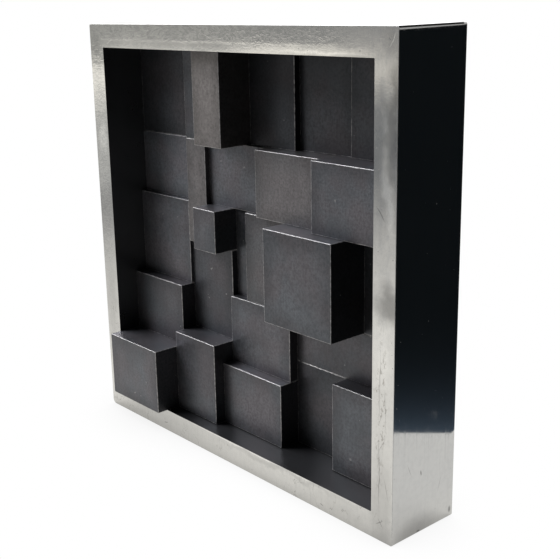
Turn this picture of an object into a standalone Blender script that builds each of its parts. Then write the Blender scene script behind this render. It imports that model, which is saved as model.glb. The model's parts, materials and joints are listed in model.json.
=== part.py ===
"""Magnetic desk sculpture: a wall of magnetic blocks in a square polished frame.

The frame stands on its lower edge with its front facing -Y. A sheet steel plate closes its back, held by
four countersunk screws. The blocks fill the opening edge to edge. Each has a disc magnet in a blind pocket
in its rear face, which holds it to the plate, and each pulls straight off towards -Y.

The origin is the centre of the frame's underside. Units are metres.
"""

import math

import bmesh
import bpy
from mathutils import Matrix, Vector

MM = 0.001

# Frame
SIDE = 0.2032                   # width and height
DEPTH = 0.038
BORDER = 0.0113                 # width of the front border, and the thickness of each wall
CORNER_ROUND = 0.0008           # radius of the frame's outer edges
OPENING = SIDE - 2 * BORDER
FRONT = -DEPTH / 2
BACK = DEPTH / 2

# Plate and its rebate in the frame's back
REBATE_SIDE = 0.1920
REBATE_DEPTH = 0.0030
PLATE_THICKNESS = 0.0020
SCREW_OFFSET = 0.0932           # of each screw from the middle of the plate, along X and along Z
SCREW_RADIUS = 0.00125
SCREW_LENGTH = 0.0080
HEAD_RADIUS = 0.00250
HEAD_HEIGHT = 0.00130
TIP_CHAMFER = 0.00080
SLOT_WIDTH = 0.00070
SLOT_DEPTH = 0.00060
HOLE_MARGIN = 0.0006            # extra depth of a screw's hole past its tip

# Blocks and magnets
CLEARANCE = 0.0003              # gap between touching pieces
EDGE_CHAMFER = 0.0004
MAGNET_THICKNESS = 0.0030
LARGE_MAGNET_RADIUS = 0.0060
SMALL_MAGNET_RADIUS = 0.0035
LARGE_MAGNET_MIN_WIDTH = 0.018  # narrower blocks take the small magnet

ROUND_SIDES = 16
SMOOTH_ANGLE = math.radians(30)
WELD_DISTANCE = 0.00001
CUT_MARGIN = 0.001              # how far a cutter runs past the face that it opens

LEDGE = BACK - REBATE_DEPTH     # the rebate's floor, facing +Y
PLATE_FRONT = LEDGE + CLEARANCE
BLOCK_REAR = PLATE_FRONT - CLEARANCE

# The lines that divide the opening, in millimetres from its left wall and from its floor. The outermost
# lines lie half a clearance inside the frame, so that the whole clearance is left against its walls.
NEAR = CLEARANCE / MM / 2
FAR = OPENING / MM - NEAR
COLUMN = {"left": NEAR, "a": 40.5, "b": 55, "c": 63.5, "d": 71.5, "e": 83, "f": 95, "g": 113,
          "h": 135.5, "i": 144.5, "j": 154.5, "right": FAR}
ROW = {"floor": NEAR, "low": 31, "step": 33, "shelf": 41, "waist": 64, "cube": 86,
       "upper": 106.5, "top": 137.5, "ceiling": FAR}

# Each block: name, left and right column lines, lower and upper row lines, and how far its face lies
# behind the frame's front, in millimetres. A negative distance stands proud of the frame.
BLOCKS = (
    ("top_left", "left", "a", "top", "ceiling", 22),
    ("top_narrow", "a", "c", "top", "ceiling", 18.5),
    ("top_proud", "c", "e", "top", "ceiling", 6),
    ("top_centre", "e", "g", "top", "ceiling", 23.5),
    ("top_inner_right", "g", "i", "top", "ceiling", 26.5),
    ("top_right", "i", "right", "top", "ceiling", 25.5),
    ("upper_left", "left", "a", "upper", "top", 21.5),
    ("upper_narrow", "a", "b", "cube", "top", 18.5),
    ("upper_middle", "b", "f", "upper", "top", 21),
    ("upper_centre", "f", "h", "upper", "top", 15.5),
    ("upper_right", "h", "right", "upper", "top", 11),
    ("middle_left", "left", "a", "waist", "upper", 18.5),
    ("small_cube", "b", "d", "cube", "upper", 10),
    ("sunk_strip", "d", "e", "waist", "upper", 23),
    ("middle_centre", "e", "g", "waist", "upper", 19),
    ("big_square", "g", "j", "waist", "upper", 3.5),
    ("right_strip", "j", "right", "waist", "upper", 23),
    ("lower_left", "left", "a", "step", "waist", 12),
    ("lower_middle", "a", "d", "shelf", "cube", 20),
    ("lower_centre", "d", "g", "low", "waist", 18.5),
    ("lower_right", "g", "right", "shelf", "waist", 23),
    ("corner_proud", "left", "a", "floor", "step", -6),
    ("bottom_upright", "a", "d", "floor", "shelf", 7),
    ("bottom_centre", "d", "g", "floor", "low", 12.5),
    ("bottom_sunk", "g", "i", "floor", "shelf", 23),
    ("bottom_right", "i", "right", "floor", "shelf", 14),
)

SCREW_CORNERS = {"top_left": (-1, 1), "top_right": (1, 1), "bottom_left": (-1, -1), "bottom_right": (1, -1)}

# Colour, metallic value and roughness of each kind of piece
FINISHES = {
    "polished_frame": ((0.80, 0.79, 0.77), 1.0, 0.16),
    "blackened_block": ((0.045, 0.045, 0.050), 0.6, 0.42),
    "plate_steel": ((0.42, 0.43, 0.44), 1.0, 0.40),
    "screw_steel": ((0.50, 0.50, 0.50), 1.0, 0.30),
    "magnet_nickel": ((0.62, 0.61, 0.58), 1.0, 0.22),
}


def clear_scene():
    for item in list(bpy.data.objects):
        bpy.data.objects.remove(item, do_unlink=True)


def make_collection(name):
    collection = bpy.data.collections.new(name)
    bpy.context.scene.collection.children.link(collection)
    return collection


def make_material(name, colour, metallic, roughness):
    material = bpy.data.materials.new(name)
    material.use_nodes = True
    shader = material.node_tree.nodes["Principled BSDF"]
    shader.inputs["Base Color"].default_value = (*colour, 1.0)
    shader.inputs["Metallic"].default_value = metallic
    shader.inputs["Roughness"].default_value = roughness
    return material


def add_object(name, mesh, collection, location=(0, 0, 0), material=None):
    item = bpy.data.objects.new(name, mesh)
    item.location = location
    collection.objects.link(item)
    if material:
        mesh.materials.append(material)
    return item


def box_mesh(name, low, high):
    """A box from its lowest to its highest corner."""
    low, high = Vector(low), Vector(high)
    shape = bmesh.new()
    bmesh.ops.create_cube(shape, size=1.0)
    bmesh.ops.scale(shape, vec=high - low, verts=shape.verts)
    bmesh.ops.translate(shape, vec=(low + high) / 2, verts=shape.verts)
    return finish_mesh(name, shape)


def disc_mesh(name, radius, front, rear):
    """A round bar along Y, from its front end to its rear end."""
    shape = bmesh.new()
    bmesh.ops.create_cone(shape, cap_ends=True, segments=ROUND_SIDES, radius1=radius, radius2=radius,
                          depth=rear - front)
    bmesh.ops.rotate(shape, verts=shape.verts, matrix=Matrix.Rotation(-math.pi / 2, 3, "X"))
    bmesh.ops.translate(shape, verts=shape.verts, vec=(0, (front + rear) / 2, 0))
    return finish_mesh(name, shape)


def finish_mesh(name, shape):
    mesh = bpy.data.meshes.new(name)
    bmesh.ops.recalc_face_normals(shape, faces=shape.faces)
    shape.to_mesh(mesh)
    shape.free()
    return mesh


def smooth_round(mesh):
    mesh.shade_smooth()
    mesh.set_sharp_from_angle(angle=SMOOTH_ANGLE)


def add_turning(item):
    """Turns a profile in the item's XZ plane about its Z axis, and lays that axis along the world's Y."""
    screw = item.modifiers.new("turning", "SCREW")
    screw.axis = "Z"
    screw.steps = screw.render_steps = ROUND_SIDES
    screw.use_merge_vertices = True
    screw.merge_threshold = WELD_DISTANCE
    screw.use_smooth_shade = False
    item.rotation_euler.x = -math.pi / 2


def add_bevel(item, width, segments):
    bevel = item.modifiers.new("edges", "BEVEL")
    bevel.width = width
    bevel.segments = segments
    bevel.limit_method = "ANGLE"


def cut(item, cutter):
    boolean = item.modifiers.new(cutter.name, "BOOLEAN")
    boolean.operation = "DIFFERENCE"
    boolean.solver = "EXACT"
    boolean.object = cutter


def make_cutter(name, mesh, cutters, location=(0, 0, 0)):
    cutter = add_object(name, mesh, cutters, location)
    cutter.hide_render = True
    cutter.display_type = "WIRE"
    return cutter


def make_frame(parts, cutters, materials):
    """The outer block of the frame, cut by the opening, the plate's rebate and the screws' blind holes."""
    half, opening, rebate = SIDE / 2, OPENING / 2, REBATE_SIDE / 2
    centre = Vector((0, 0, half))
    frame = add_object("frame", box_mesh("frame", (-half, FRONT, -half), (half, BACK, half)), parts, centre,
                       materials["polished_frame"])
    add_bevel(frame, CORNER_ROUND, 2)
    through = box_mesh("opening_cutter", (-opening, FRONT - CUT_MARGIN, -opening),
                       (opening, BACK + CUT_MARGIN, opening))
    cut(frame, make_cutter("opening_cutter", through, cutters, centre))
    rebate_box = box_mesh("rebate_cutter", (-rebate, LEDGE, -rebate), (rebate, BACK + CUT_MARGIN, rebate))
    cut(frame, make_cutter("rebate_cutter", rebate_box, cutters, centre))
    radius = SCREW_RADIUS + CLEARANCE
    tip = PLATE_FRONT + PLATE_THICKNESS - SCREW_LENGTH - HOLE_MARGIN
    for corner in SCREW_CORNERS:
        hole = disc_mesh(f"thread_hole_{corner}", radius, tip, LEDGE + CUT_MARGIN)
        cut(frame, make_cutter(f"thread_hole_{corner}", hole, cutters, screw_place(corner)))
    return frame


def screw_place(corner):
    across, up = SCREW_CORNERS[corner]
    return Vector((across * SCREW_OFFSET, 0, SIDE / 2 + up * SCREW_OFFSET))


def make_plate(parts, cutters, materials):
    """The steel plate that the magnets grip, with a countersunk hole near each corner."""
    half = REBATE_SIDE / 2 - CLEARANCE
    rear = PLATE_FRONT + PLATE_THICKNESS
    mesh = box_mesh("back_plate", (-half, PLATE_FRONT, -half), (half, rear, half))
    plate = add_object("back_plate", mesh, parts, (0, 0, SIDE / 2), materials["plate_steel"])
    shank = SCREW_RADIUS + CLEARANCE
    mouth = HEAD_RADIUS + CLEARANCE
    neck = rear - HEAD_HEIGHT - CLEARANCE
    profile = ((0, rear + CUT_MARGIN), (mouth, rear + CUT_MARGIN), (mouth, rear), (shank, neck),
               (shank, PLATE_FRONT - CUT_MARGIN), (0, PLATE_FRONT - CUT_MARGIN))
    for corner in SCREW_CORNERS:
        hole = make_cutter(f"plate_hole_{corner}", profile_mesh("plate_hole", profile), cutters,
                           screw_place(corner))
        add_turning(hole)
        cut(plate, hole)
    return plate


def profile_mesh(name, points):
    """Half a turned shape's outline, from (radius, height) points that run down its outer side."""
    shape = bmesh.new()
    verts = [shape.verts.new((radius, 0, height)) for radius, height in points]
    for upper, lower in zip(verts, verts[1:]):
        shape.edges.new((upper, lower))
    mesh = bpy.data.meshes.new(name)
    shape.to_mesh(mesh)
    shape.free()
    return mesh


def make_screw(corner, parts, cutters, materials):
    """A countersunk screw, its head flush with the plate's rear face, with one straight driver slot."""
    rear = PLATE_FRONT + PLATE_THICKNESS
    tip = rear - SCREW_LENGTH
    profile = ((0, rear), (HEAD_RADIUS, rear), (SCREW_RADIUS, rear - HEAD_HEIGHT),
               (SCREW_RADIUS, tip + TIP_CHAMFER), (SCREW_RADIUS - TIP_CHAMFER, tip), (0, tip))
    screw = add_object(f"plate_screw_{corner}", profile_mesh("plate_screw", profile), parts,
                       screw_place(corner), materials["screw_steel"])
    add_turning(screw)
    half = HEAD_RADIUS + CUT_MARGIN
    slot = box_mesh(f"slot_{corner}", (-half, rear - SLOT_DEPTH, -SLOT_WIDTH / 2),
                    (half, rear + CUT_MARGIN, SLOT_WIDTH / 2))
    cut(screw, make_cutter(f"slot_{corner}", slot, cutters, screw_place(corner)))
    return screw


def block_size(left, right, lower, upper, setback):
    """Width, height and thickness of a block, and the place of the middle of its rear face."""
    width = (COLUMN[right] - COLUMN[left]) * MM - CLEARANCE
    height = (ROW[upper] - ROW[lower]) * MM - CLEARANCE
    thickness = BLOCK_REAR - (FRONT + setback * MM)
    x = (COLUMN[left] + COLUMN[right]) * MM / 2 - OPENING / 2
    z = (ROW[lower] + ROW[upper]) * MM / 2 + BORDER
    return width, height, thickness, Vector((x, BLOCK_REAR, z))


def make_block(name, size, parts, cutters, materials):
    """One block, chamfered, with its magnet in a pocket in the middle of its rear face."""
    width, height, thickness, place = size
    mesh = box_mesh(name, (-width / 2, -thickness, -height / 2), (width / 2, 0, height / 2))
    block = add_object(f"{name}_block", mesh, parts, place, materials["blackened_block"])
    add_bevel(block, EDGE_CHAMFER, 1)
    radius = LARGE_MAGNET_RADIUS if width > LARGE_MAGNET_MIN_WIDTH else SMALL_MAGNET_RADIUS
    pocket_radius = radius + CLEARANCE
    pocket = disc_mesh(f"{name}_pocket", pocket_radius, -MAGNET_THICKNESS - CLEARANCE, CUT_MARGIN)
    cut(block, make_cutter(f"{name}_pocket", pocket, cutters, place))
    disc = disc_mesh(f"{name}_magnet", radius, -MAGNET_THICKNESS, 0)
    smooth_round(disc)
    magnet = add_object(f"{name}_magnet", disc, parts, (0, 0, 0), materials["magnet_nickel"])
    magnet.parent = block
    return block


def main():
    clear_scene()
    parts = make_collection("magnetic_desk_sculpture")
    cutters = make_collection("cutters")
    materials = {name: make_material(name, *values) for name, values in FINISHES.items()}
    make_frame(parts, cutters, materials)
    make_plate(parts, cutters, materials)
    for corner in SCREW_CORNERS:
        make_screw(corner, parts, cutters, materials)
    for name, left, right, lower, upper, setback in BLOCKS:
        make_block(name, block_size(left, right, lower, upper, setback), parts, cutters, materials)


main()
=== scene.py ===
"""The looks of the magnetic desk sculpture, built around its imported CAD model.

A hand-polished metal frame with blackened inner walls replaces the plain CAD frame, and every magnetic
block is replaced by one with worn, rounded edges. The plate, the screws and the magnets keep their CAD
shapes and take procedural materials. Lengths are in metres, +Z is up, and the front faces -Y.
"""

import json
import math

import bmesh
import bpy
from mathutils import Matrix, Vector, noise

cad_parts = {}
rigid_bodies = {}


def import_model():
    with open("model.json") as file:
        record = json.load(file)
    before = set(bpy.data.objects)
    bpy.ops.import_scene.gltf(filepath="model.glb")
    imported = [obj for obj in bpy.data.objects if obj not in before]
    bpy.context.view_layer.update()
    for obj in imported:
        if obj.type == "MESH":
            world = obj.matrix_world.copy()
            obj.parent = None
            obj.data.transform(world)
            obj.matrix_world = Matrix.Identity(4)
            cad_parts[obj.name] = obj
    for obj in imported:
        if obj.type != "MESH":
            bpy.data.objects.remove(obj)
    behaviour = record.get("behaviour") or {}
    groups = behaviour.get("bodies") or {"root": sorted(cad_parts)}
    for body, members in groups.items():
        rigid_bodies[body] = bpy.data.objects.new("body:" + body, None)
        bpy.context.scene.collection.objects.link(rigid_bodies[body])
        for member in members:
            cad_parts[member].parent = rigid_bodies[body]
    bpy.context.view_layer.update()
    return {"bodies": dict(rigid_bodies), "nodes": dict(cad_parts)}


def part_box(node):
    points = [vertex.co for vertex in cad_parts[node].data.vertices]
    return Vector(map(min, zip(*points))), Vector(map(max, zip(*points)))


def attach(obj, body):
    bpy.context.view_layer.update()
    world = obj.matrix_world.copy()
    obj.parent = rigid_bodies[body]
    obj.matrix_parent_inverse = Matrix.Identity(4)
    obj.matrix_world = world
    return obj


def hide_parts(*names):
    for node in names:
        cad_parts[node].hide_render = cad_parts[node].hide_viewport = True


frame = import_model()

MM = 0.001

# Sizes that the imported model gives
FRAME_LOW, FRAME_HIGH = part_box("frame")
SIDE = FRAME_HIGH.z - FRAME_LOW.z
FRONT, BACK = FRAME_LOW.y, FRAME_HIGH.y
BLOCK_NAMES = [body for body in frame["bodies"] if body != "frame_assembly"]
CLEARANCE = 0.3 * MM                    # what the CAD model leaves between touching pieces
OPENING = 2 * (max(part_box(f"{name}_block")[1].x for name in BLOCK_NAMES) + CLEARANCE)
BORDER = (SIDE - OPENING) / 2
PLATE_LOW, PLATE_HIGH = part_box("back_plate")
LEDGE = PLATE_LOW.y - CLEARANCE         # y of the ledge that the plate lies against
REBATE = PLATE_HIGH.x - PLATE_LOW.x + 2 * CLEARANCE


# ---------------------------------------------------------------- helpers

class Graph:
    """Builds a material's or world's nodes. A socket is given as a node, a (node, name) pair or a value."""

    def __init__(self, tree):
        self.tree = tree

    def add(self, kind, inputs=None, **settings):
        """Adds a node, sets it and feeds its inputs."""
        node = self.tree.nodes.new(kind)
        for key, value in settings.items():
            setattr(node, key, value)
        for key, value in (inputs or {}).items():
            self.feed(node.inputs[key], value)
        return node

    def feed(self, socket, value):
        """Links an input to an output, or sets it to a value."""
        if isinstance(value, tuple) and isinstance(value[0], bpy.types.Node):
            self.tree.links.new(value[0].outputs[value[1]], socket)
        elif isinstance(value, bpy.types.Node):
            self.tree.links.new(value.outputs[0], socket)
        else:
            socket.default_value = value

    def math(self, operation, first, second=0.0, third=0.0):
        """One arithmetic node. Only MULTIPLY_ADD reads the third value."""
        return self.add("ShaderNodeMath", {0: first, 1: second, 2: third}, operation=operation)

    def product(self, *factors):
        """All factors multiplied together."""
        total = factors[0]
        for factor in factors[1:]:
            total = self.math("MULTIPLY", total, factor)
        return total

    def pick(self, share, there, elsewhere):
        """One value where share is 1, and the other where it is 0."""
        rest = self.math("SUBTRACT", 1.0, share)
        return self.math("ADD", self.product(share, there), self.product(rest, elsewhere))

    def span(self, value, low, high, to_low=0.0, to_high=1.0):
        """Maps value from low..high to to_low..to_high, with a smooth clamp at both ends."""
        node = self.add("ShaderNodeMapRange", interpolation_type="SMOOTHSTEP")
        for key, given in zip(("Value", "From Min", "From Max", "To Min", "To Max"),
                              (value, low, high, to_low, to_high)):
            self.feed(node.inputs[key], given)
        return node

    def zone(self, value, fade_in, fade_out):
        """1 between two borders, each given as where it starts and ends along the value."""
        return self.product(self.span(value, *fade_in), self.span(value, *reversed(fade_out)))

    def blend(self, factor, first, second, mode="MIX"):
        """Goes from the first colour to the second as the factor goes from 0 to 1."""
        node = self.add("ShaderNodeMix", data_type="RGBA", blend_type=mode)
        self.feed(node.inputs["Factor"], factor)
        self.feed(node.inputs[6], first)
        self.feed(node.inputs[7], second)
        return (node, 2)

    def place(self, stretch=(1, 1, 1), turn=(0, 0, 0), shift=(0, 0, 0)):
        """Object coordinates, scaled per axis to stretch a texture."""
        where = (self.add("ShaderNodeTexCoord"), "Object")
        inputs = {"Vector": where, "Scale": stretch, "Rotation": turn, "Location": shift}
        return self.add("ShaderNodeMapping", inputs)

    def noise(self, scale, detail=3.0, roughness=0.5, distortion=0.0, **where):
        """Noise from 0 to 1 in object coordinates, stretched, turned and shifted as place says."""
        inputs = {"Vector": self.place(**where), "Scale": scale, "Detail": detail, "Roughness": roughness,
                  "Distortion": distortion}
        return (self.add("ShaderNodeTexNoise", inputs), "Fac")

    def hairlines(self, scale, width, patch_scale, **where):
        """Thin curly lines that come in patches, from 0 beside them to 1 on them."""
        contour = self.math("ABSOLUTE", self.math("SUBTRACT", self.noise(scale, detail=3.0, **where), 0.5))
        patch = self.span(self.noise(patch_scale, detail=2.0, shift=(7.0, 3.0, 5.0)), 0.50, 0.62)
        return self.product(self.span(contour, 0.0, width, 1.0, 0.0), patch)

    def mark(self, where, place, half, turn):
        """1 in the middle of an ellipsoid, falling to 0 at its rim."""
        inputs = {"Vector": where, "Location": place, "Rotation": turn, "Scale": half}
        local = self.add("ShaderNodeMapping", inputs, vector_type="TEXTURE")
        off = self.add("ShaderNodeVectorMath", {0: local}, operation="LENGTH")
        return self.span((off, "Value"), 0.2, 1.0, 1.0, 0.0)

    def attribute(self, name):
        """A value that the mesh carries at each of its corners."""
        return (self.add("ShaderNodeAttribute", attribute_name=name), "Fac")

    def paler(self, colour, tone):
        """A colour times a tone that varies over the surface."""
        tone = self.add("ShaderNodeCombineColor", {"Red": tone, "Green": tone, "Blue": tone})
        return self.blend(1.0, colour, tone, mode="MULTIPLY")

    def bump(self, height, strength, distance, normal=None):
        """A normal tilted by a relief, on top of another normal when one is given."""
        inputs = {"Height": height, "Strength": strength, "Distance": distance}
        if normal:
            inputs["Normal"] = normal
        return self.add("ShaderNodeBump", inputs)


def grey(value, tint=(1.0, 1.0, 1.0)):
    """A colour of one brightness, neutral unless it is tinted."""
    return tuple(value * part for part in tint) + (1.0,)


def new_material(name):
    """A new material, its graph and its shader."""
    material = bpy.data.materials.new(name)
    material.use_nodes = True
    tree = material.node_tree
    return material, Graph(tree), tree.nodes["Principled BSDF"]


def loose_object(name, shape):
    """Turns a bmesh into an object in the scene."""
    mesh = bpy.data.meshes.new(name)
    shape.to_mesh(mesh)
    shape.free()
    piece = bpy.data.objects.new(name, mesh)
    bpy.context.scene.collection.objects.link(piece)
    return piece


# ---------------------------------------------------------------- the polished metal

# Marks on the polished metal, in mm: the middle, the half sizes, the turn in degrees, and how pale the metal
# is there beside its surroundings. On the front the sizes run along X and Z, and on the right side along Y
# and Z. Most marks on the front are painted reflection: they paint the bright and dull patches and the
# highlight streaks that reflections in the wavy front would show.
FRONT_STAINS_AND_PAINTED_REFLECTIONS = (
    (99.0, 166, 4.8, 26, 0, 0.68),      # painted dark reflection on the outer half of the right border
    (93.0, 188, 5.0, 7, 0, 1.12),       # painted bright reflection above it
    (97.0, 141, 3.6, 18, -8, 1.38),     # painted highlight streak
    (98.5, 101, 12.0, 12, 12, 0.48),    # darker patch
    (96.5, 115, 8.0, 10, 0, 0.93),
    (95.0, 78, 6.5, 17, 0, 1.12),
    (96.0, 14, 10.0, 36, 0, 0.80),      # stained foot of the right border
    (-96.0, 56, 9.0, 34, 0, 0.80),
    (-97.0, 190, 7.0, 11, 0, 0.90),
    (-96.0, 168, 8.0, 18, 0, 0.95),
    (-94.5, 148, 4.5, 14, 0, 1.26),
    (40.0, 10, 66, 2.4, 0, 0.84),
    (70.0, 6, 30, 5.0, 0, 0.92),
    (-62.0, 3, 22, 4.0, 0, 1.06),
    (68.0, 193.4, 30, 1.7, 0, 1.10),    # painted highlight along the top border's inner edge
    (99.0, 198, 6.0, 6.5, 0, 0.84),     # painted dark reflection in the top right corner
    (100.4, 184, 3.2, 14, 6, 0.70),
)
# Scratches and thin marks, in the same columns: the darker ones are scratches, the paler ones painted
# highlights.
FRONT_SCRATCHES_AND_HIGHLIGHTS = (
    (10.0, 11.1, 82, 0.45, 0, 1.22),    # painted highlight along the bottom border's inner edge
    (60.0, 193.2, 34, 0.85, 0.4, 1.20),     # and along the top border's inner edge
    (93.6, 135, 0.35, 4.4, -36, 0.50),
    (94.2, 66, 0.35, 20, 1, 0.70),
    (94.4, 30, 0.40, 21, -1, 0.66),
    (97.2, 58, 0.30, 12, -3, 0.74),
    (95.6, 42, 0.30, 6, 24, 0.74),
    (98.2, 24, 0.30, 7, -14, 0.74),
    (94.8, 8.2, 0.30, 3.6, 50, 0.60),
    (95.2, 8.0, 0.30, 3.0, -38, 0.60),
    # painted highlight streaks by the top corners
    (99.6, 199, 0.30, 2.6, 20, 1.50),
    (98.4, 197, 0.25, 2.2, 32, 1.40),
    (-84.0, 195, 0.25, 5.0, 62, 1.30),
    (62.0, 2.6, 1.6, 0.35, 10, 0.50),
    (-52.0, 4.5, 2.4, 0.30, -14, 0.55),
)
SIDE_MARKS = (
    (-1.9, 26.7, 0.40, 1.7, 8, 0.20),   # dark nick
    (17.0, 3.5, 1.1, 2.2, 0, 0.45),     # knocked rear corner
    (-5.0, 0.0, 19, 11, 0, 0.70),       # darker along the foot
    (-9.0, 30, 0.25, 4.5, 24, 0.75),
    (10.0, 18, 0.25, 5.0, -18, 0.78),
    (-3.0, 1.0, 1.4, 0.7, 0, 0.45),
)
FINGER_PRINT = (4.8, 49.5, 4.2)         # on the right side: y, z and radius, in mm
PRINT_CRESCENT = 1.6                    # how far below and in front of it the clean circle in it lies, in mm
STAINS = (95.0, 56, 3.6, 46)            # up the right border: x, z, half width and half height, in mm
SOFT_REACH, RAGGED_REACH = 9 * MM, 2 * MM   # how far noise shakes the outlines of marks and of scratches
MARK_DEPTH = 3 * MM                     # half the thickness of a side mark's ellipsoid

# Zones of the front, each with where it starts and is full along an axis
SCRATCHED_Z = (0.095, 0.065)
TOP_RIPPLE_Z, TOP_RIPPLE_X = (0.1945, 0.1970), (0.090, 0.060)
LEFT_RIPPLE_X, LEFT_RIPPLE_Z = (-0.088, -0.094), (0.05, 0.12)
HAZE_X, HAZE_Z = (0.086, 0.090), (0.06, 0.12)


def front_tone(graph, where, marks):
    """How pale the front is at each point, from a table of marks, most of them painted reflections and
    highlights.
    """
    tone = 1.0
    for x, z, half_width, half_height, turn, paleness in marks:
        place, half = (x * MM, 0, z * MM), (half_width * MM, 1, half_height * MM)
        shape = graph.mark(where, place, half, (0, math.radians(turn), 0))
        tone = graph.product(tone, graph.math("MULTIPLY_ADD", shape, paleness - 1, 1.0))
    return tone


def side_tone(graph, where):
    """How pale the right side is at each point."""
    tone = 1.0
    for y, z, half_depth, half_height, turn, paleness in SIDE_MARKS:
        place, half = (SIDE / 2, y * MM, z * MM), (MARK_DEPTH, half_depth * MM, half_height * MM)
        shape = graph.mark(where, place, half, (math.radians(turn), 0, 0))
        tone = graph.product(tone, graph.math("MULTIPLY_ADD", shape, paleness - 1, 1.0))
    return tone


def shaken(graph, where, reach):
    """Coordinates shaken by noise, which makes the outlines of marks uneven."""
    drift = graph.add("ShaderNodeTexNoise", {"Vector": where, "Scale": 130.0, "Detail": 3.0})
    drift = graph.add("ShaderNodeVectorMath", {0: (drift, "Color"), 1: (0.5, 0.5, 0.5)}, operation="SUBTRACT")
    return graph.add("ShaderNodeVectorMath", {0: drift, 1: (reach,) * 3, 2: where}, operation="MULTIPLY_ADD")


def finger_print(graph, where):
    """A crescent on the right side: a circle with a shifted circle taken out of it."""
    y, z, radius = FINGER_PRINT
    half = (MARK_DEPTH, radius * MM, radius * MM)
    whole = graph.mark(where, (SIDE / 2, y * MM, z * MM), half, (0, 0, 0))
    middle = (SIDE / 2, (y - PRINT_CRESCENT) * MM, (z - PRINT_CRESCENT) * MM)
    clean = graph.mark(where, middle, half, (0, 0, 0))
    return graph.math("MAXIMUM", graph.math("SUBTRACT", whole, clean), 0.0)


def stains(graph, where):
    """Dark specks and threads of dirt that run up the right border."""
    x, z, half_width, half_height = STAINS
    strip = graph.mark(where, (x * MM, 0, z * MM), (half_width * MM, 1, half_height * MM), (0, 0, 0))
    specks = graph.noise(820.0, detail=4.0, roughness=0.75, stretch=(1, 1, 0.45))
    return graph.product(strip, graph.span(specks, 0.52, 0.60))


def haze(graph, x, z):
    """A dull slanting bloom on the right border."""
    bloom = graph.noise(300.0, detail=5.0, roughness=0.7, stretch=(1, 1, 0.5), turn=(0, -0.4, 0))
    return graph.product(graph.span(bloom, 0.42, 0.62), graph.span(x, *HAZE_X), graph.span(z, *HAZE_Z))


def polished_metal():
    """Hand-polished metal: rippled and pitted on the front, brushed and nearly mirror-like on the sides, with
    painted reflections and highlights on the front.
    """
    material, graph, shader = new_material("polished_metal")
    where = (graph.add("ShaderNodeTexCoord"), "Object")
    parts = graph.add("ShaderNodeSeparateXYZ", {"Vector": where})
    x, z = (parts, "X"), (parts, "Z")
    normal = (graph.add("ShaderNodeNewGeometry"), "True Normal")
    facing = graph.math("ABSOLUTE", (graph.add("ShaderNodeSeparateXYZ", {"Vector": normal}), "Y"))
    front = graph.span(facing, 0.5, 0.9)
    slant = graph.zone(facing, (0.10, 0.40), (0.85, 0.97))      # the cut along the front's outer edge
    soft, ragged = shaken(graph, where, SOFT_REACH), shaken(graph, where, RAGGED_REACH)

    cloud = graph.noise(22.0, detail=4.0)
    fine = graph.noise(420.0, detail=4.0, roughness=0.6)
    streaks = graph.noise(1.0, detail=5.0, roughness=0.65, stretch=(900, 900, 40))
    ripple = graph.noise(760.0, detail=2.0, distortion=1.2, stretch=(0.42, 1, 1), turn=(0, 0.30, 0))
    swirl = graph.noise(240.0, detail=2.0, distortion=1.0, stretch=(0.6, 1, 1), turn=(0, 0.5, 0))
    pits = graph.span(graph.noise(620.0, detail=2.0, roughness=0.7), 0.71, 0.77)
    scratches = graph.product(graph.hairlines(150.0, 0.010, 34.0, stretch=(1, 1, 0.45)), front,
                              graph.span(z, *SCRATCHED_Z))
    upper = graph.product(graph.span(z, *TOP_RIPPLE_Z), graph.span(x, *TOP_RIPPLE_X))
    left = graph.product(graph.span(x, *LEFT_RIPPLE_X), graph.span(z, *LEFT_RIPPLE_Z))
    rippled = graph.product(front, graph.math("MAXIMUM", upper, left))

    base = graph.blend(cloud, grey(0.59, (1.0, 0.995, 0.975)), grey(0.66, (1.0, 0.99, 0.96)))
    base = graph.blend(graph.span(fine, 0.35, 0.75, 0.0, 0.20), base, grey(0.45))
    base = graph.blend(graph.span(streaks, 0.45, 0.80, 0.0, 0.18), base, grey(0.42))
    base = graph.blend(graph.product(rippled, graph.span(ripple, 0.42, 0.60, 0.0, 0.42)), base, grey(0.42))
    base = graph.blend(graph.product(haze(graph, x, z), front, 0.22), base, grey(0.38, (0.96, 1.0, 1.06)))
    base = graph.blend(graph.product(stains(graph, soft), front, 0.50), base, grey(0.14, (1.1, 1.0, 0.85)))
    base = graph.blend(graph.product(pits, 0.8), base, grey(0.10))
    base = graph.blend(graph.product(scratches, 0.45), base, grey(0.16, (1.05, 1.0, 0.9)))
    # the front's mark tables paint reflections and highlights into its colour: painted reflection
    on_front = graph.product(front_tone(graph, soft, FRONT_STAINS_AND_PAINTED_REFLECTIONS), front_tone(graph, ragged, FRONT_SCRATCHES_AND_HIGHLIGHTS))
    base = graph.paler(base, graph.pick(front, on_front, side_tone(graph, where)))
    graph.feed(shader.inputs["Base Color"], base)
    shader.inputs["Metallic"].default_value = 1.0

    side_rough = graph.span(streaks, 0.30, 0.80, 0.035, 0.10)
    side_rough = graph.math("MULTIPLY_ADD", finger_print(graph, where), 0.14, side_rough)
    rough = graph.pick(front, graph.span(cloud, 0.30, 0.70, 0.09, 0.14), side_rough)
    rough = graph.math("MULTIPLY_ADD", slant, 0.55, rough)
    graph.feed(shader.inputs["Roughness"], graph.math("MULTIPLY_ADD", pits, 0.3, rough))

    relief = graph.math("MULTIPLY_ADD", swirl, 0.9, ripple)
    relief = graph.math("MULTIPLY_ADD", fine, 0.25, relief)
    relief = graph.product(relief, front, graph.span(rippled, 0.0, 1.0, 0.13, 0.36))
    sunk = graph.math("MULTIPLY_ADD", scratches, 0.5, graph.product(pits, 0.6))
    relief = graph.math("SUBTRACT", relief, sunk)
    graph.feed(shader.inputs["Normal"], graph.bump(relief, 0.45, 0.10 * MM))
    return material


# ---------------------------------------------------------------- other materials

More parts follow.
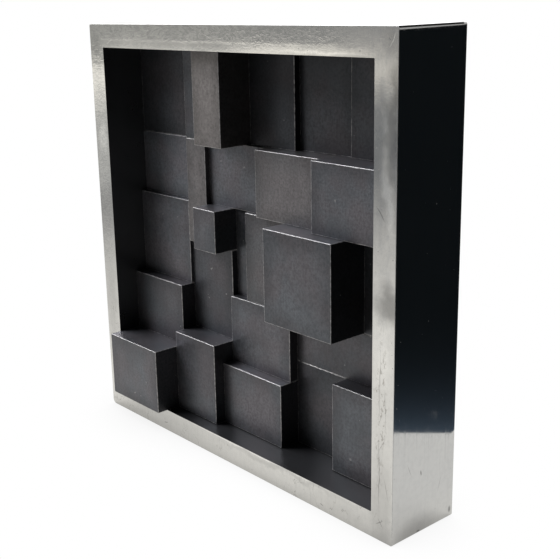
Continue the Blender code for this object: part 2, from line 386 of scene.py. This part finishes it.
def blackened_wall():
    """The frame's inner walls: semi-gloss black, dusty and faintly brushed."""
    material, graph, shader = new_material("blackened_wall")
    cloud = graph.noise(60.0, detail=5.0, roughness=0.6)
    fine = graph.noise(900.0, detail=3.0)
    tide = graph.hairlines(20.0, 0.012, 12.0)
    base = graph.blend(cloud, grey(0.010), grey(0.018, (0.95, 1.0, 1.12)))
    base = graph.blend(graph.product(tide, 0.5), base, grey(0.06, (1.0, 1.0, 1.05)))
    graph.feed(shader.inputs["Base Color"], base)
    graph.feed(shader.inputs["Roughness"], graph.span(cloud, 0.2, 0.8, 0.26, 0.34))
    graph.feed(shader.inputs["Normal"], graph.bump(fine, 0.15, 0.04 * MM))
    return material


def satin_black():
    """A block's skin: brushed and mottled gunmetal black, rubbed to bare metal along its edges and chips,
    with painted shade and painted reflection from its tone and tint values.
    """
    material, graph, shader = new_material("satin_black")
    brushing = graph.noise(1.0, detail=5.0, roughness=0.7, stretch=(1500, 1500, 110))
    mottle = graph.noise(880.0, detail=4.0, roughness=0.7)
    cloud = graph.noise(60.0, detail=3.0)
    blush = graph.noise(42.0, detail=3.0, roughness=0.6, shift=(3.0, 1.0, 8.0))
    chips = graph.span(graph.noise(330.0, detail=1.0), 0.78, 0.80)
    breakup = graph.span(graph.noise(520.0, detail=4.0, roughness=0.7), 0.30, 0.75, 0.60, 1.20)
    wear = graph.span(graph.product(graph.attribute("edge"), breakup), 0.30, 0.90)
    wear = graph.math("MAXIMUM", wear, graph.product(chips, 0.45))
    base = graph.blend(graph.span(mottle, 0.30, 0.70), grey(0.068), grey(0.132))
    base = graph.blend(graph.span(brushing, 0.30, 0.80, 0.0, 0.45), base, grey(0.150))
    base = graph.blend(graph.span(cloud, 0.35, 0.7, 0.0, 0.42), base, grey(0.066))
    violet, blue = grey(1.0, (1.02, 0.97, 1.06)), grey(1.0, (0.93, 0.99, 1.10))
    tint = graph.blend(graph.span(blush, 0.35, 0.65), violet, blue)
    # painted reflection: a warm tint where the warm glowing band would be reflected
    tint = graph.blend(graph.attribute("warmth"), tint, grey(1.0, (1.05, 0.98, 0.96)))
    base = graph.blend(1.0, base, tint, mode="MULTIPLY")
    # the tone value carries painted shade and painted reflection as well as each block's own tone
    base = graph.paler(base, graph.attribute("tone"))
    base = graph.blend(wear, base, grey(0.33, (1.0, 0.98, 0.97)))
    graph.feed(shader.inputs["Base Color"], base)
    graph.feed(shader.inputs["Metallic"], graph.math("MULTIPLY_ADD", wear, -0.42, 0.80))
    rough = graph.span(mottle, 0.25, 0.75, 0.34, 0.46)
    graph.feed(shader.inputs["Roughness"], graph.math("MULTIPLY_ADD", wear, -0.05, rough))
    normal = graph.bump(brushing, 0.22, 0.05 * MM)
    normal = graph.bump(mottle, 0.25, 0.04 * MM, normal)
    graph.feed(shader.inputs["Normal"], normal)
    return material


def rolled_steel():
    """The plate: rolled steel with long fine streaks, faint stains and oil."""
    material, graph, shader = new_material("rolled_steel")
    streaks = graph.noise(1.0, detail=6.0, roughness=0.7, stretch=(25, 25, 1400))
    stain = graph.noise(28.0, detail=5.0, roughness=0.6)
    specks = graph.span(graph.noise(700.0, detail=1.0), 0.72, 0.76)
    base = graph.blend(streaks, grey(0.34, (0.98, 1.0, 1.02)), grey(0.46))
    base = graph.blend(graph.span(stain, 0.5, 0.75, 0.0, 0.5), base, grey(0.24, (1.05, 1.0, 0.93)))
    base = graph.blend(graph.product(specks, 0.6), base, grey(0.12, (1.2, 1.0, 0.8)))
    graph.feed(shader.inputs["Base Color"], base)
    shader.inputs["Metallic"].default_value = 1.0
    graph.feed(shader.inputs["Roughness"], graph.span(stain, 0.3, 0.7, 0.30, 0.48))
    graph.feed(shader.inputs["Normal"], graph.bump(streaks, 0.15, 0.04 * MM))
    return material


def turned_steel():
    """The screws: bright turned steel with fine rings of tool marks and a little grime."""
    material, graph, shader = new_material("turned_steel")
    grime = graph.noise(900.0, detail=3.0)
    base = graph.blend(graph.span(grime, 0.45, 0.7), grey(0.58), grey(0.30, (1.06, 1.0, 0.92)))
    graph.feed(shader.inputs["Base Color"], base)
    shader.inputs["Metallic"].default_value = 1.0
    graph.feed(shader.inputs["Roughness"], graph.span(grime, 0.35, 0.7, 0.22, 0.45))
    graph.feed(shader.inputs["Normal"], graph.bump(grime, 0.2, 0.03 * MM))
    return material


def nickel_plate():
    """The magnets: bright nickel, slightly cloudy, with fine rubbed scratches."""
    material, graph, shader = new_material("nickel_plate")
    cloud = graph.noise(240.0, detail=4.0)
    scuffs = graph.span(graph.noise(1.0, detail=3.0, stretch=(2600, 300, 300), turn=(0, 0.5, 0)), 0.62, 0.70)
    base = graph.blend(cloud, grey(0.60, (1.0, 0.98, 0.94)), grey(0.70, (1.0, 0.98, 0.95)))
    base = graph.blend(graph.product(scuffs, 0.4), base, grey(0.35))
    graph.feed(shader.inputs["Base Color"], base)
    shader.inputs["Metallic"].default_value = 1.0
    rough = graph.span(cloud, 0.3, 0.7, 0.14, 0.24)
    graph.feed(shader.inputs["Roughness"], graph.math("MULTIPLY_ADD", scuffs, 0.2, rough))
    graph.feed(shader.inputs["Normal"], graph.bump(scuffs, 0.15, 0.03 * MM))
    return material


# ---------------------------------------------------------------- the frame

OUTER_CUT = (0.11 * MM, 0.14 * MM)      # what is off the front's outer edge: along the front, and backwards
REAR_ROUND = 0.20 * MM                  # rounding of the outer rear edge
INNER_CORNER = 0.50 * MM                # radius of the opening's corners
OUTER_CORNERS = (0.9 * MM, 1.2 * MM, 2.4 * MM, 0.8 * MM)    # top right, top left, bottom left, bottom right
FRONT_WAVES = 0.045 * MM                # how far hand polishing has moved the front
SIDE_FLATNESS = 0.15                    # the outer sides are flatter, by this factor
FACE_CROWN = 0.01 * MM                  # how far polishing has taken the border's edges back
ROLLED_SLOPE = 0.011                    # polishing has rolled back part of the top border's inner edge,
ROLLED_WIDTH = 3.2 * MM                 # over this width
ROLLED_SPAN = (-10 * MM, 38 * MM, 84 * MM, 92 * MM)     # x where it starts, is full, starts to fade and ends
HOLLOWS = (                             # worn into the border: x, z, half width, half height and depth, in mm
    (-90.3, 130, 1.3, 60, 0.03),
    (94.2, 150, 3.2, 24, 0.20),
)
SIDE_STEPS, CORNER_STEPS = 76, 6        # round the frame: along each side, and round each corner
FRONT_STEPS, OUTSIDE_STEPS, BACK_STEPS, WALL_STEPS, ROUND_STEPS = 20, 18, 4, 14, 4      # round its section
OUTER_SHARE = 0.995                     # points beyond this share of the border are on an outer side
FRAME_SHARP_ANGLE = math.radians(30)
METAL, BLACK = 0, 1                     # the frame's material slots


def quarter_round(centre, radius):
    """Points from an outer side round to the back, in the section's plane."""
    angles = (math.radians(90 * step / ROUND_STEPS) for step in range(ROUND_STEPS + 1))
    return [(centre[0] + radius * math.cos(angle), centre[1] + radius * math.sin(angle)) for angle in angles]


def straight(start, end, steps):
    """Points strictly between two ends."""
    return [(start[0] + (end[0] - start[0]) * i / steps, start[1] + (end[1] - start[1]) * i / steps)
            for i in range(1, steps)]


def frame_section():
    """The frame's closed section: (distance out from the opening's wall, y, finish of the next strip)."""
    rebate = (REBATE - OPENING) / 2
    inner = (0.0, FRONT)
    cut = [(BORDER - OUTER_CUT[0], FRONT), (BORDER, FRONT + OUTER_CUT[1])]
    rear = quarter_round((BORDER - REAR_ROUND, BACK - REAR_ROUND), REAR_ROUND)
    front_face = straight(inner, cut[0], FRONT_STEPS)
    side_face = straight(cut[-1], rear[0], OUTSIDE_STEPS)
    back_face = straight(rear[-1], (rebate, BACK), BACK_STEPS)
    metal = [inner] + front_face + cut + side_face + rear + back_face
    step = [(rebate, BACK), (rebate, LEDGE), (0.0, LEDGE)]
    wall = straight(step[-1], inner, WALL_STEPS)
    half = BORDER / 2
    points = []
    for distance, y in metal:
        if y <= FRONT + OUTER_CUT[1]:
            y += FACE_CROWN * abs(distance / half - 1) ** 4
        points.append((distance, y, METAL))
    return points + [(distance, y, BLACK) for distance, y in step + wall]


def ring_place(distance, step, corners):
    """A point and its outward direction, in the XZ plane, on a rounded square at a distance from the opening.

    The sides are counted anticlockwise from the right one, so corner 0 is the top right one.
    """
    half = OPENING / 2 + distance
    side, along = divmod(step, SIDE_STEPS + CORNER_STEPS)
    radius, next_radius = corners[side - 1], corners[side]
    if along <= SIDE_STEPS:
        start, end = -(half - radius), half - next_radius
        x, z = half, start + (end - start) * along / SIDE_STEPS
        direction = Vector((1, 0))
    else:
        angle = math.radians(90 * (along - SIDE_STEPS) / CORNER_STEPS)
        direction = Vector((math.cos(angle), math.sin(angle)))
        x = half - next_radius + next_radius * direction.x
        z = half - next_radius + next_radius * direction.y
    turn = Matrix.Rotation(math.radians(90 * side), 2)
    return turn @ Vector((x, z)), turn @ direction


def waviness(point):
    """Slow waves with quicker ones on them, from -1 to 1."""
    slow = noise.noise(point * 38.0 + Vector((3.1, 0.7, 5.9)))
    quick = noise.noise(point * 120.0 + Vector((9.2, 4.4, 1.3)))
    return slow * 0.75 + quick * 0.25


def ease(value, low, high):
    """Runs smoothly from 0 at low to 1 at high."""
    share = min(1.0, max(0.0, (value - low) / (high - low)))
    return share * share * (3 - 2 * share)


def hollow_depth(point):
    """How far polishing has worn the front border back at a point."""
    start, full, fading, end = ROLLED_SPAN
    rolled = max(0.0, SIDE - BORDER + ROLLED_WIDTH - point.z) * (point.z > SIDE - BORDER - MM)
    depth = ROLLED_SLOPE * rolled * ease(point.x, start, full) * (1 - ease(point.x, fading, end))
    for x, z, half_width, half_height, deepest in HOLLOWS:
        off = ((point.x / MM - x) / half_width) ** 2 + ((point.z / MM - z) / half_height) ** 2
        depth += deepest * MM * math.exp(-off)
    return depth


def polish(place, outward, share):
    """Moves a point of the metal inwards, as hand polishing has, except on the back and the underside."""
    push = FRONT_WAVES * abs(waviness(place))
    if share < OUTER_SHARE:
        if place.y < 0:
            place.y += push + hollow_depth(place)
    elif place.z > MM:
        place -= Vector((outward.x, 0, outward.y)) * push * SIDE_FLATNESS


def make_frame():
    """The frame as one skin swept round the opening, its faces slightly wavy from hand polishing."""
    shape = bmesh.new()
    section = frame_section()
    steps = 4 * (SIDE_STEPS + CORNER_STEPS)
    rings = []
    for distance, y, finish in section:
        share = distance / BORDER
        corners = [INNER_CORNER + (outer - INNER_CORNER) * share for outer in OUTER_CORNERS]
        ring = []
        for step in range(steps):
            flat, outward = ring_place(distance, step, corners)
            place = Vector((flat.x, y, flat.y + SIDE / 2))
            if finish == METAL:
                polish(place, outward, share)
            ring.append(shape.verts.new(place))
        rings.append(ring)
    for index, (_, _, finish) in enumerate(section):
        ring, following = rings[index], rings[(index + 1) % len(rings)]
        for step in range(steps):
            after = (step + 1) % steps
            face = shape.faces.new((ring[step], ring[after], following[after], following[step]))
            face.material_index = finish
            face.smooth = True
    bmesh.ops.recalc_face_normals(shape, faces=shape.faces)
    piece = loose_object("polished_frame", shape)
    mesh = piece.data
    mesh.set_sharp_from_angle(angle=FRAME_SHARP_ANGLE)
    mesh.materials.append(polished_metal())
    mesh.materials.append(blackened_wall())
    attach(piece, "frame_assembly")
    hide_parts("frame")


# ---------------------------------------------------------------- the blocks

EDGE_ROUND, EDGE_STEPS = 0.26 * MM, 3   # the rounding of a block's edges
WEAR_REACH = 0.5 * MM                   # how far from an edge the bare metal can show
GRID = 3.0 * MM                         # spacing of the cuts that let a face bend
BLOCK_WAVE, BLOCK_WAVE_SCALE = 0.05 * MM, 45.0  # how uneven the faces are, and the noise's scale
NICK_DEPTH, NICK_SCALE = 0.35 * MM, 240.0       # how deep the nicks in the edges are, and the noise's scale
NICK_FROM, NICK_SPAN = 0.42, 0.58       # the noise level that nicks start at, and what is left above it
SEED_STEPS = (17.3, 5.1, 2.7)           # how far apart in the noise two blocks in a row are
CONTACT_GAP = 0.06 * MM                 # what is left between the blocks, which really touch
POCKET_SIDES = 32
BLOCK_SHARP_ANGLE = math.radians(50)
# The block tones mix each block's own tone with painted light: the top row's low values paint the shadow of
# the frame's top wall, right_strip's and bottom_sunk's paint shade, and top_proud's paints a bright
# reflection.
BLOCK_TONES_AND_PAINTED_LIGHT = {                         # how pale a block's skin is beside the others, 1 when not listed
    "top_left": 0.64, "top_proud": 1.75, "top_centre": 0.54, "top_inner_right": 0.50, "top_right": 0.52,
    "upper_left": 1.60, "upper_narrow": 1.65, "upper_middle": 1.15, "upper_centre": 1.32,
    "middle_left": 1.20, "small_cube": 1.12, "big_square": 0.92, "right_strip": 0.60,
    "lower_left": 0.80, "lower_middle": 0.72, "lower_centre": 0.95, "lower_right": 0.75,
    "corner_proud": 0.95, "bottom_sunk": 0.55, "bottom_right": 0.90,
}
BLOCK_WARM_REFLECTION = {                        # how warm its tint is, from 0 to 1, and 0 when not listed: painted warm reflection of the glowing band
    "top_proud": 1.0, "upper_narrow": 0.7, "upper_centre": 0.5, "middle_centre": 0.3,
}
SIDE_PAINTED_SHADE = 0.40                        # the blocks' sides are darkened beside their faces: painted shade
RIM_SHADE_AND_PATINA, MIDDLE_TONE = 0.80, 1.08      # a face is darker near its rim than in its middle: painted shade near the edges, with handling patina
RIM_WIDTH = 9 * MM                      # how far from the edge it reaches its middle's tone


def cut_lines(low, high):
    """Cuts across one axis: close to both edges, and evenly between them."""
    inset = EDGE_ROUND + WEAR_REACH
    count = max(1, round((high - low - 2 * inset) / GRID))
    return [low + inset + (high - low - 2 * inset) * i / count for i in range(count + 1)]


def block_shape(low, high):
    """A box with rounded edges, cut into a grid."""
    shape = bmesh.new()
    bmesh.ops.create_cube(shape, size=1.0)
    bmesh.ops.scale(shape, vec=high - low, verts=shape.verts)
    bmesh.ops.translate(shape, vec=(low + high) / 2, verts=shape.verts)
    bmesh.ops.bevel(shape, geom=shape.edges[:], offset=EDGE_ROUND, segments=EDGE_STEPS, profile=0.5,
                    affect="EDGES", clamp_overlap=True)
    for axis in range(3):
        normal = Vector([float(axis == i) for i in range(3)])
        for at in cut_lines(low[axis], high[axis]):
            geometry = shape.verts[:] + shape.edges[:] + shape.faces[:]
            bmesh.ops.bisect_plane(shape, geom=geometry, plane_co=normal * at, plane_no=normal)
    return shape


def edge_closeness(point, low, high):
    """1 on an edge of the box, falling to 0 at the wear's reach, from the two smallest distances to faces."""
    gaps = sorted(min(point[i] - low[i], high[i] - point[i]) for i in range(3))
    return max(0.0, 1.0 - gaps[1] / (EDGE_ROUND + WEAR_REACH))


def skin_tone_and_painted_shade(name, vert, low, high):
    """How pale a block's skin is at a corner of its mesh, with painted shade on its sides and near its face's
    rim.
    """
    tone = BLOCK_TONES_AND_PAINTED_LIGHT.get(name, 1.0)
    # painted shade on the left and right sides
    if abs(vert.normal.x) > 0.9:
        return tone * SIDE_PAINTED_SHADE
    # painted shade and handling patina: the front face darkens towards its rim
    if vert.normal.y < -0.9:
        inside = min(vert.co.x - low.x, high.x - vert.co.x, vert.co.z - low.z, high.z - vert.co.z)
        return tone * (RIM_SHADE_AND_PATINA + (MIDDLE_TONE - RIM_SHADE_AND_PATINA) * ease(inside, 0.0, RIM_WIDTH))
    return tone


def cut_pocket(shape, name):
    """Cuts the magnet's blind pocket into the rear face."""
    low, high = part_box(f"{name}_magnet")
    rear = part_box(f"{name}_block")[1].y
    depth = rear - low.y + CLEARANCE
    radius = (high.x - low.x) / 2 + CLEARANCE
    pocket = bmesh.new()
    bmesh.ops.create_cone(pocket, cap_ends=True, segments=POCKET_SIDES, radius1=radius, radius2=radius,
                          depth=2 * depth)
    bmesh.ops.rotate(pocket, matrix=Matrix.Rotation(math.radians(90), 3, "X"), verts=pocket.verts)
    bmesh.ops.translate(pocket, vec=((low.x + high.x) / 2, rear, (low.z + high.z) / 2), verts=pocket.verts)
    body, cutter = loose_object("body", shape), loose_object("cutter", pocket)
    cut = body.modifiers.new("pocket", "BOOLEAN")
    cut.operation = "DIFFERENCE"
    cut.object = cutter
    result = bmesh.new()
    result.from_object(body, bpy.context.evaluated_depsgraph_get())
    for piece in (body, cutter):
        mesh = piece.data
        bpy.data.objects.remove(piece)
        bpy.data.meshes.remove(mesh)
    return result


def make_block(name, number, material):
    """One worn block, with its magnet's pocket and the edge, tone and tint values that its skin reads, the
    tone and tint carrying painted shade and painted reflection.
    """
    low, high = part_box(f"{name}_block")
    grow = Vector((1, 0, 1)) * (CLEARANCE - CONTACT_GAP) / 2
    low, high = low - grow, high + grow
    shape = cut_pocket(block_shape(low, high), name)
    offset = Vector([number * step for step in SEED_STEPS])
    centre = (low + high) / 2
    edge = shape.verts.layers.float.new("edge")
    tone = shape.verts.layers.float.new("tone")
    warmth = shape.verts.layers.float.new("warmth")
    for vert in shape.verts:
        closeness = edge_closeness(vert.co, low, high)
        vert[edge] = closeness
        vert[tone] = skin_tone_and_painted_shade(name, vert, low, high)
        vert[warmth] = BLOCK_WARM_REFLECTION.get(name, 0.0)
        inward = (centre - vert.co).normalized()
        dent = max(0.0, noise.noise(vert.co * NICK_SCALE + offset) - NICK_FROM) / NICK_SPAN
        vert.co += inward * dent * NICK_DEPTH * closeness
        if vert.normal.y < -0.5 and vert.co.y < low.y + MM:
            wave = noise.noise(vert.co * BLOCK_WAVE_SCALE + offset)
            vert.co.y += BLOCK_WAVE * (0.5 + 0.5 * wave)
    piece = loose_object(f"{name}_worn_block", shape)
    mesh = piece.data
    mesh.shade_smooth()
    mesh.set_sharp_from_angle(angle=BLOCK_SHARP_ANGLE)
    mesh.materials.append(material)
    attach(piece, name)
    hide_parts(f"{name}_block")


# ---------------------------------------------------------------- stage, light and camera

LENS, SENSOR_WIDTH, CLIP_START = 63.93, 36, 0.01
CAMERA_AZIMUTH, CAMERA_ELEVATION, CAMERA_ROLL = map(math.radians, (50.45, 15.21, -1.62))
CAMERA_PLACE = Vector((0.3382, -0.2890, 0.2150))
LENS_SHIFT = (0.0714, -0.025)
FLOOR_RADIUS, FLOOR_SIDES = 0.75, 96
FLOOR_GAP = 0.05 * MM                   # how far the floor lies below the frame
FLAG_FOOT = Vector((SIDE / 2 + 0.062, 0.072, 0))        # the middle of its lower edge
FLAG_ALONG = Vector((-0.687, 0.727, 0))                 # the way that edge runs
FLAG_WIDTH, FLAG_HEIGHT = 0.110, 0.206
KEY_PLACE, KEY_SIZE, KEY_POWER, KEY_COLOUR = (-0.85, -0.50, 1.05), 1.0, 38, (0.97, 0.97, 1.0)


def room_in_front(graph, x, y, height):
    """The room that the front faces: dim, with a low glowing band, paler far left and dark to the right."""
    leftward = graph.math("ADD", graph.product(x, -0.95), graph.product(y, -0.31))
    pale = graph.span(leftward, 0.83, 0.98)
    low = graph.blend(pale, grey(0.26, (0.97, 1.0, 1.03)), grey(0.66, (1.0, 1.0, 0.97)))
    horizon = graph.blend(pale, grey(0.37), grey(0.45, (1.0, 1.0, 0.95)))
    room = graph.blend(graph.span(height, -0.085, -0.045), low, horizon)
    glow = graph.blend(pale, grey(0.98, (1.0, 0.95, 0.86)), grey(1.65, (1.0, 0.97, 0.90)))
    room = graph.blend(graph.zone(height, (-0.102, -0.080), (-0.069, -0.057)), room, glow)
    room = graph.blend(graph.span(height, 0.02, 0.16), room, grey(0.12))
    return graph.blend(graph.span(x, 0.10, -0.60), grey(0.03, (0.8, 1.0, 1.2)), room)


def room_behind(graph, x, y, height):
    """The room that the back faces: even, brighter above the horizon to the left, with a dark upper part."""
    bright = graph.product(graph.span(height, -0.03, 0.0), graph.span(x, -0.10, -0.35))
    room = graph.blend(bright, grey(0.55), grey(1.70))
    dark = graph.product(graph.zone(y, (0.70, 0.74), (0.80, 0.84)), graph.span(height, 0.20, 0.28))
    return graph.blend(dark, room, grey(0.02))


def make_world():
    """A soft room all round, which polished metal reflects. The camera sees plain white instead."""
    world = bpy.data.worlds.new("soft_room")
    bpy.context.scene.world = world
    world.use_nodes = True
    world.node_tree.nodes.clear()
    graph = Graph(world.node_tree)
    parts = graph.add("ShaderNodeSeparateXYZ", {"Vector": (graph.add("ShaderNodeTexCoord"), "Generated")})
    x, y, height = (parts, "X"), (parts, "Y"), (parts, "Z")
    room = room_in_front(graph, x, y, height)
    room = graph.blend(graph.span(y, 0.25, 0.85), room, room_behind(graph, x, y, height))
    room = graph.blend(graph.span(y, -0.80, -0.96), room, grey(0.32))
    seen = (graph.add("ShaderNodeLightPath"), "Is Camera Ray")
    light = graph.add("ShaderNodeBackground", {"Color": graph.blend(seen, room, grey(1.0)), "Strength": 1.0})
    graph.add("ShaderNodeOutputWorld", {"Surface": light})


def painted_glow_material(name, colour_of):
    """A material that only glows, painted light, so that the stage's brightness doesn't hang on the lights.
    """
    material, graph, shader = new_material(name)
    graph.tree.nodes.remove(shader)
    glow = graph.add("ShaderNodeEmission", {"Color": colour_of(graph), "Strength": 1.0})
    graph.feed(graph.tree.nodes["Material Output"].inputs["Surface"], glow)
    return material


def floor_painted_light(graph):
    """Painted light: white to the camera and pale to reflections, dimmer far out and to the right, with a
    painted soft shadow.
    """
    shade = (graph.add("ShaderNodeAmbientOcclusion", {"Distance": 0.045}, samples=16), "AO")
    white = graph.span(shade, 0.0, 0.9, 0.84, 1.0)
    where = (graph.add("ShaderNodeTexCoord"), "Object")
    reach = (graph.add("ShaderNodeVectorMath", {0: where}, operation="LENGTH"), "Value")
    x = (graph.add("ShaderNodeSeparateXYZ", {"Vector": where}), "X")
    near, far = grey(1.02, (1.0, 0.985, 0.945)), grey(0.40, (1.0, 1.0, 0.99))
    # painted light: paler near the frame, dimmer far out and to the right, and darkened by ambient occlusion
    pale = graph.blend(graph.span(reach, 0.18, 0.70), near, far)
    pale = graph.blend(graph.span(x, 0.08, 0.13), pale, grey(0.80, (1.0, 1.0, 0.99)))
    pale = graph.blend(graph.span(x, 0.20, 0.32), pale, grey(0.12))
    pale = graph.blend(graph.span(shade, 0.3, 0.98, 0.55, 1.0), grey(0.0), pale)
    seen = (graph.add("ShaderNodeLightPath"), "Is Camera Ray")
    return graph.blend(seen, pale, white)


def make_floor():
    """A pale floor just below the frame, which only glows: painted light, with a painted soft shadow."""
    shape = bmesh.new()
    bmesh.ops.create_circle(shape, cap_ends=True, radius=FLOOR_RADIUS, segments=FLOOR_SIDES)
    floor = loose_object("floor", shape)
    floor.location.z = FRAME_LOW.z - FLOOR_GAP
    floor.data.materials.append(painted_glow_material("painted_light_floor", floor_painted_light))


def flag_painted_reflection(graph):
    """Nearly black, and bluer and paler towards the flag's foot: the painted dark reflection that the
    polished side shows.
    """
    parts = graph.add("ShaderNodeSeparateXYZ", {"Vector": (graph.add("ShaderNodeTexCoord"), "Object")})
    fade = graph.math("POWER", 2.718, graph.product((parts, "Z"), -75.0))
    return graph.blend(fade, grey(0.0065, (0.75, 1.0, 1.2)), grey(0.075, (0.70, 1.0, 1.40)))


def make_flag():
    """A nearly black sheet that only glows and that the polished side reflects: a painted dark reflection,
    set where a studio's black flag would stand. The camera doesn't see it.
    """
    across, up = FLAG_ALONG * FLAG_WIDTH / 2, Vector((0, 0, FLAG_HEIGHT))
    left, right = FLAG_FOOT - across, FLAG_FOOT + across
    shape = bmesh.new()
    shape.faces.new([shape.verts.new(corner) for corner in (left, right, right + up, left + up)])
    flag = loose_object("black_flag", shape)
    flag.data.materials.append(painted_glow_material("flag_painted_glow", flag_painted_reflection))
    flag.visible_camera = False
    flag.visible_shadow = False


def make_key_light():
    """One large soft light, up to the left in front."""
    data = bpy.data.lights.new("key", "AREA")
    data.shape = "DISK"
    data.size = KEY_SIZE
    data.energy = KEY_POWER
    data.color = KEY_COLOUR
    light = bpy.data.objects.new("key", data)
    light.location = KEY_PLACE
    light.rotation_euler = (Vector((0, 0, SIDE / 2)) - light.location).to_track_quat("-Z", "Y").to_euler()
    light.visible_camera = False
    bpy.context.scene.collection.objects.link(light)


def make_camera():
    """The camera, from its place and the direction that it looks in."""
    data = bpy.data.cameras.new("camera")
    data.lens = LENS
    data.sensor_width = SENSOR_WIDTH
    data.shift_x, data.shift_y = LENS_SHIFT
    data.clip_start = CLIP_START
    camera = bpy.data.objects.new("camera", data)
    flat = math.cos(CAMERA_ELEVATION)
    forward = Vector((-math.sin(CAMERA_AZIMUTH) * flat, math.cos(CAMERA_AZIMUTH) * flat,
                      -math.sin(CAMERA_ELEVATION)))
    right = forward.cross(Vector((0, 0, 1))).normalized()
    up = right.cross(forward)
    roll = Matrix.Rotation(CAMERA_ROLL, 3, -forward)
    axes = Matrix((right, up, -forward)).transposed()
    camera.matrix_world = Matrix.Translation(CAMERA_PLACE) @ (roll @ axes).to_4x4()
    bpy.context.scene.collection.objects.link(camera)
    bpy.context.scene.camera = camera


# ---------------------------------------------------------------- all together

def give_material(node, material):
    """Gives a CAD node a material and leaves its mesh alone."""
    item = frame["nodes"][node]
    item.data.materials.clear()
    item.data.materials.append(material)


def main():
    """Sets the stage, builds the frame and the blocks, and finishes the CAD pieces that stay."""
    bpy.context.scene.view_settings.view_transform = "Standard"
    make_camera()
    make_world()
    make_floor()
    make_flag()
    make_key_light()
    make_frame()
    black = satin_black()
    for number, name in enumerate(BLOCK_NAMES):
        make_block(name, number, black)
    give_material("back_plate", rolled_steel())
    screw_finish, magnet_finish = turned_steel(), nickel_plate()
    for node in frame["nodes"]:
        if node.startswith("plate_screw"):
            give_material(node, screw_finish)
        elif node.endswith("_magnet"):
            give_material(node, magnet_finish)


main()
